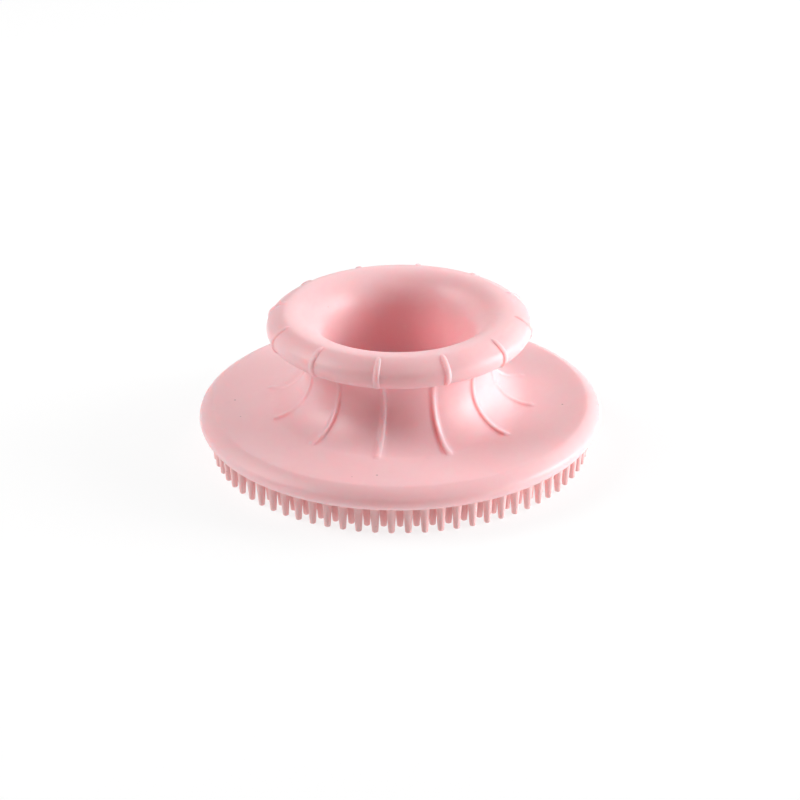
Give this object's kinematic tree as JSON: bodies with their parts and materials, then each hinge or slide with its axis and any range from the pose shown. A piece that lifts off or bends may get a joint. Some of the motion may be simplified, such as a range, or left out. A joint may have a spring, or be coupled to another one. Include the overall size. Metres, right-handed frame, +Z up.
{
  "type": "facial cleansing brush",
  "caption": "Soft moulded face brush: a ribbed grip ring on a hollow neck above a round disc, with rings of short tapered bristles underneath.",
  "frame": {"origin": "centre of the plane of the bristle tips, on the axis", "axes": "+Z up along the axis, from the bristles to the grip ring; -Y is the front; the body is round, and only its ribs and bristles set the angle about Z"},
  "size_m": [0.075, 0.075, 0.0274],
  "materials": {
    "silicone": "soft satin moulded silicone, pale pink",
    "bristle_silicone": "the same silicone, more see-through where it is thin"
  },
  "bodies": {
    "root": {"bristle_row_01": "bristle_silicone", "bristle_row_02": "bristle_silicone", "bristle_row_03": "bristle_silicone", "bristle_row_04": "bristle_silicone", "bristle_row_05": "bristle_silicone", "bristle_row_06": "bristle_silicone", "bristle_row_07": "bristle_silicone", "bristle_row_08": "bristle_silicone", "bristle_row_09": "bristle_silicone", "bristle_row_10": "bristle_silicone", "bristle_row_11": "bristle_silicone", "bristle_row_12": "bristle_silicone", "bristle_row_13": "bristle_silicone", "bristle_row_14": "bristle_silicone", "bristle_row_15": "bristle_silicone", "centre_bristle": "bristle_silicone", "cup_floor": "silicone", "disc_rim": "silicone", "grip_ring": "silicone", "neck_rib_01": "silicone", "neck_rib_02": "silicone", "neck_rib_03": "silicone", "neck_rib_04": "silicone", "neck_rib_05": "silicone", "neck_rib_06": "silicone", "neck_rib_07": "silicone", "neck_rib_08": "silicone", "neck_rib_09": "silicone", "neck_rib_10": "silicone", "neck_rib_11": "silicone", "neck_rib_12": "silicone", "neck_wall": "silicone", "ring_rib_01": "silicone", "ring_rib_02": "silicone", "ring_rib_03": "silicone", "ring_rib_04": "silicone", "ring_rib_05": "silicone", "ring_rib_06": "silicone", "ring_rib_07": "silicone", "ring_rib_08": "silicone", "ring_rib_09": "silicone", "ring_rib_10": "silicone", "ring_rib_11": "silicone", "ring_rib_12": "silicone", "scrub_disc": "silicone"}
  },
  "joints": []
}
